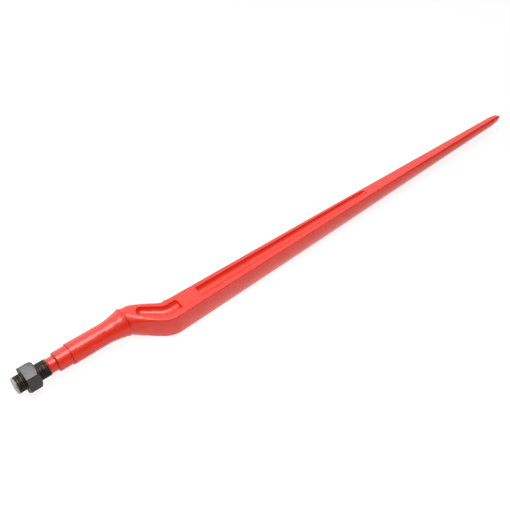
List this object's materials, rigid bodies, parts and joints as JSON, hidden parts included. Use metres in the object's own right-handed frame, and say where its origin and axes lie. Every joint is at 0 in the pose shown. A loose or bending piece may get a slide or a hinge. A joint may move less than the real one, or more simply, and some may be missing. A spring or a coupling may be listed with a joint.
{
  "type": "bale spear",
  "caption": "Cranked, tapering bale spear with fluted faces, a turned collar and a threaded tail with its clamping nut, for bale grabs and loaders.",
  "frame": {"origin": "centre of the collar's shoulder face, on the axis of the shank", "axes": "+X along the shank towards the point; the blade is cranked aside towards -Y; z = 0 is the forging's parting plane, so the spear lies on its side"},
  "size_m": [1.1, 0.0878, 0.0486],
  "materials": {
    "red_paint": "glossy enamel over forged steel",
    "nut_steel": "plain machined steel, lightly oiled"
  },
  "bodies": {
    "spear": {"spear": "red_paint"},
    "nut": {"hex_nut": "nut_steel"}
  },
  "joints": [
    {"name": "nut_travel", "type": "slide", "parent": "spear", "child": "nut", "axis": [-1, 0, 0], "range_m": [-0.032, 0.12]}
  ]
}
